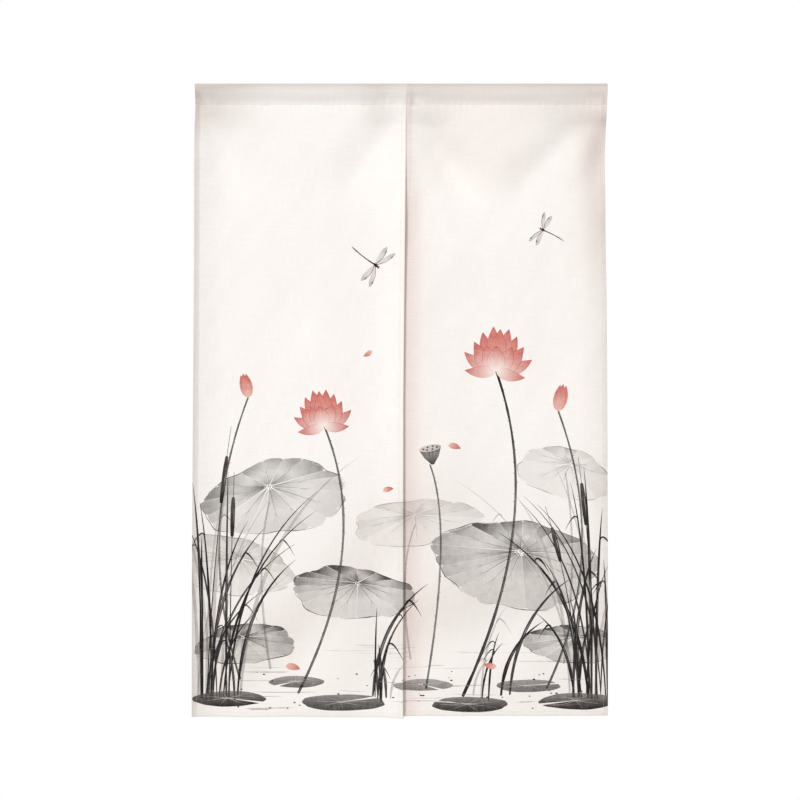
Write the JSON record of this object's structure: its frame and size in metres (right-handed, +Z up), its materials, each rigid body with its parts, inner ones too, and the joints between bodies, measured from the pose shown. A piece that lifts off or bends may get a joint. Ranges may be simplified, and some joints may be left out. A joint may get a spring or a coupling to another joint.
{
  "type": "noren curtain",
  "caption": "Split doorway curtain of pale woven cloth in two hanging panels, each hung by a sewn rod pocket along its top edge.",
  "frame": {"origin": "middle of the top edge, on top of the rod pocket", "axes": "+Z up along the drop, -Y to the front, +X to the viewer's right"},
  "size_m": [0.8546, 0.0548, 1.3],
  "materials": {
    "cloth": "matt, linen-like plain weave",
    "pocket_cloth": "matt, linen-like plain weave, doubled at the seam"
  },
  "bodies": {
    "root": {"panel_left": "cloth", "panel_right": "cloth", "pocket_left": "pocket_cloth", "pocket_right": "pocket_cloth"}
  },
  "joints": []
}
